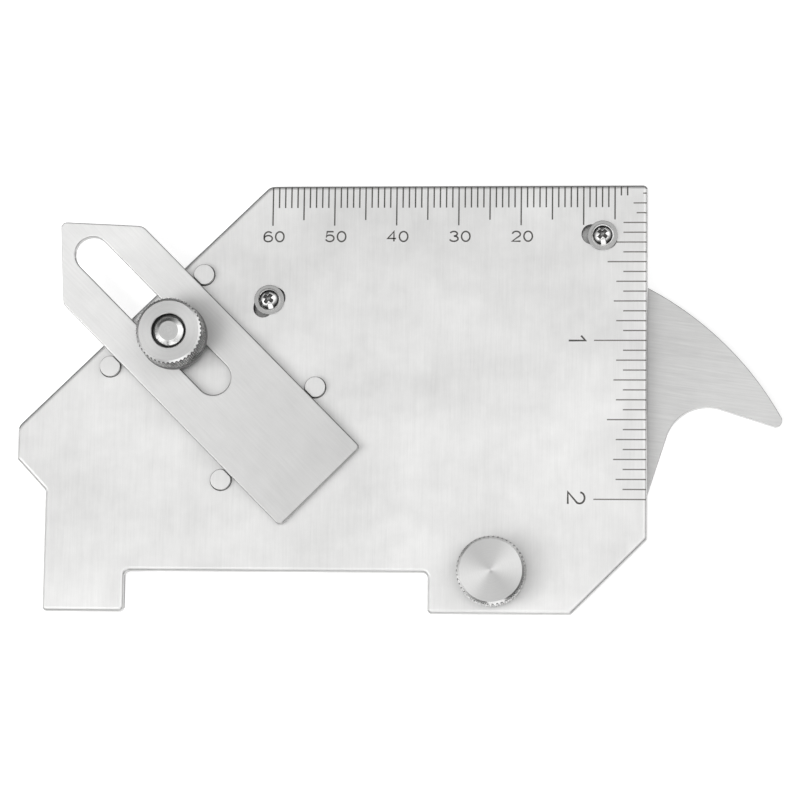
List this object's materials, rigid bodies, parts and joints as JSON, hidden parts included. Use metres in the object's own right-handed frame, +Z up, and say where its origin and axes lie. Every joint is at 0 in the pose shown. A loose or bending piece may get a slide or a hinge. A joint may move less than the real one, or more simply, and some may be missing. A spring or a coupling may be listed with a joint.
{
  "type": "weld gauge",
  "caption": "Flat steel weld gauge with feet either side of a bridge gap, a slotted sliding blade under a thumb nut, and a hooked cam that swings behind the plate.",
  "frame": {"origin": "middle of the outline's box, on the surface that the gauge lies on", "axes": "+X to the right along the feet line, +Y from the feet to the scale edge, +Z up out of the slide side"},
  "size_m": [0.1222, 0.0688, 0.0113],
  "materials": {
    "plate_steel": "fine straight brushing",
    "blade_steel": "brushed along its length",
    "cam_steel": "satin ground",
    "turned_steel": "turned and knurled",
    "screw_steel": "bright plated"
  },
  "bodies": {
    "gauge_body": {"body_plate": "plate_steel", "slide_stud": "turned_steel", "slide_washer": "turned_steel", "scale_strip": "cam_steel", "strip_screw_left": "screw_steel", "strip_screw_right": "screw_steel", "strip_washer_left": "screw_steel", "strip_washer_right": "screw_steel"},
    "blade": {"slide_blade": "blade_steel"},
    "nut": {"slide_nut": "turned_steel"},
    "cam": {"cam_plate": "cam_steel", "cam_stud": "turned_steel"},
    "knob": {"cam_knob": "turned_steel"}
  },
  "joints": [
    {"name": "blade_slide", "type": "slide", "parent": "gauge_body", "child": "blade", "axis": [0.7071, -0.7071, 0], "range_m": [-0.00925, 0.01895]},
    {"name": "nut_turn", "type": "hinge", "parent": "gauge_body", "child": "nut", "pos_m": [-0.03588, 0.00969, 0.0086], "axis": [0, 0, 1], "range_deg": [0, 360]},
    {"name": "cam_swing", "type": "hinge", "parent": "gauge_body", "child": "cam", "pos_m": [0.01546, -0.02785, 0.001], "axis": [0, 0, 1], "range_deg": [-42, 18]},
    {"name": "knob_turn", "type": "hinge", "parent": "cam", "child": "knob", "pos_m": [0.01546, -0.02785, 0.0065], "axis": [0, 0, 1], "range_deg": [0, 360]}
  ]
}
